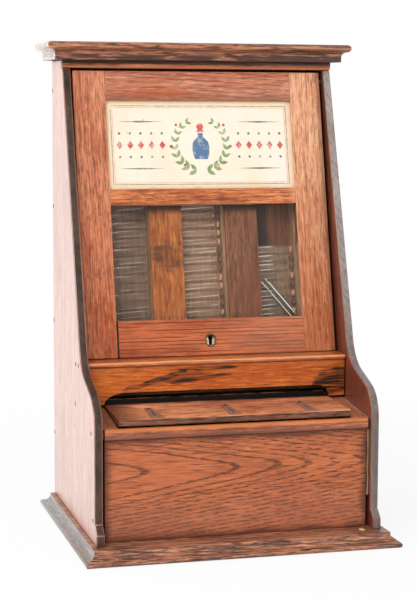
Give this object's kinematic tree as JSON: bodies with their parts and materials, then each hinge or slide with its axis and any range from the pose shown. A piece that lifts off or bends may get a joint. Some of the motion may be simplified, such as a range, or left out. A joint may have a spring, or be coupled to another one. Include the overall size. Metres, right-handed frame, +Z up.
{
  "type": "coin-operated vial vending cabinet",
  "caption": "Oak counter cabinet that vends small corked vials: leaning glazed door with a sign panel, push-down coin lever, delivery arch and a cash drawer.",
  "frame": {"origin": "centre of the base board's underside", "axes": "+Z up, -Y towards the customer, +X to the customer's right"},
  "size_m": [0.314, 0.26, 0.483],
  "materials": {
    "case_oak": "varnished oak, reddish brown, worn at the edges",
    "dark_oak": "dark stained oak with worn varnish",
    "door_oak": "varnished quartered oak with flecks",
    "lever_oak": "varnished oak, worn by hands",
    "plain_wood": "plain unvarnished softwood",
    "steel": "dull steel",
    "brass": "aged brass",
    "bronze": "dull bronze-grey plate",
    "window_glass": "clear old window glass",
    "vial_glass": "clear glass vial",
    "cork": "cork",
    "card": "cream printed card"
  },
  "bodies": {
    "case": {"base_board": "dark_oak", "left_side": "case_oak", "right_side": "case_oak", "back_board": "case_oak", "cornice": "dark_oak", "bed_mould": "case_oak", "sill_rail": "case_oak", "apron": "case_oak", "front_panel": "case_oak", "corner_blocks": "plain_wood", "ledge_nosing": "case_oak", "ledge_strips": "case_oak", "case_screws": "steel", "lever_pivot_rod": "steel", "trip_rod": "steel", "lever_stop_rail": "plain_wood", "lever_spring": "steel", "ejector_shelf": "plain_wood", "chute": "plain_wood", "magazine_back": "plain_wood", "magazine_posts": "plain_wood", "mask_strips": "case_oak", "magazine_front_bar": "case_oak", "vials_left": "vial_glass", "vials_middle": "vial_glass", "vials_right": "vial_glass", "vial_corks": "cork", "loose_vial": "vial_glass", "strike_plate": "brass", "door_pivot_pins": "steel", "drawer_runners": "plain_wood"},
    "door": {"door_stile_left": "door_oak", "door_stile_right": "door_oak", "door_top_rail": "door_oak", "door_middle_rail": "door_oak", "door_bottom_rail": "door_oak", "window_glass": "window_glass", "window_bead": "door_oak", "sign_card": "card", "sign_backing": "plain_wood", "lock_case": "brass", "keyhole_escutcheon": "brass"},
    "lock_bolt": {"lock_bolt": "steel"},
    "push_lever": {"push_lever": "lever_oak", "lever_rail": "lever_oak", "coin_plates": "bronze", "coin_carriers": "bronze", "plate_screws": "steel"},
    "cash_drawer": {"cash_drawer": "plain_wood", "drawer_knob": "brass"},
    "trip_left": {"trip_lever_left": "steel"},
    "ejector_left": {"ejector_left": "plain_wood", "ready_vial_left": "vial_glass"},
    "trip_middle": {"trip_lever_middle": "steel"},
    "ejector_middle": {"ejector_middle": "plain_wood", "ready_vial_middle": "vial_glass"},
    "trip_right": {"trip_lever_right": "steel"},
    "ejector_right": {"ejector_right": "plain_wood", "ready_vial_right": "vial_glass"}
  },
  "joints": [
    {"name": "door_swing", "type": "hinge", "parent": "case", "child": "door", "pos_m": [0, 0.06881, 0.44584], "axis": [-1, 0, 0], "range_deg": [0, 80]},
    {"name": "bolt_slide", "type": "slide", "parent": "door", "child": "lock_bolt", "axis": [0, -0.225, -0.9744], "range_m": [0, 0.006]},
    {"name": "lever_push", "type": "hinge", "parent": "case", "child": "push_lever", "pos_m": [0, -0.0024, 0.13081], "axis": [1, 0, 0], "range_deg": [0, 6.5], "stiffness_Nm_per_rad": 0.5, "springref_deg": -22.92, "deforming": ["lever_spring"]},
    {"name": "drawer_pull", "type": "slide", "parent": "case", "child": "cash_drawer", "axis": [0, 1, 0], "range_m": [0, 0.15]},
    {"name": "trip_left", "type": "hinge", "parent": "case", "child": "trip_left", "pos_m": [0, -0.02, 0.064], "axis": [1, 0, 0], "range_deg": [0, 8]},
    {"name": "eject_left", "type": "slide", "parent": "case", "child": "ejector_left", "axis": [0, -1, 0], "range_m": [0, 0.0092]},
    {"name": "trip_middle", "type": "hinge", "parent": "case", "child": "trip_middle", "pos_m": [0, -0.02, 0.064], "axis": [1, 0, 0], "range_deg": [0, 8]},
    {"name": "eject_middle", "type": "slide", "parent": "case", "child": "ejector_middle", "axis": [0, -1, 0], "range_m": [0, 0.0092]},
    {"name": "trip_right", "type": "hinge", "parent": "case", "child": "trip_right", "pos_m": [0, -0.02, 0.064], "axis": [1, 0, 0], "range_deg": [0, 8]},
    {"name": "eject_right", "type": "slide", "parent": "case", "child": "ejector_right", "axis": [0, -1, 0], "range_m": [0, 0.0092]}
  ],
  "couplings": [
    {"joint": "eject_left", "follows": "trip_left", "m_per_rad": 0.065537},
    {"joint": "eject_middle", "follows": "trip_middle", "m_per_rad": 0.065537},
    {"joint": "eject_right", "follows": "trip_right", "m_per_rad": 0.065537}
  ]
}
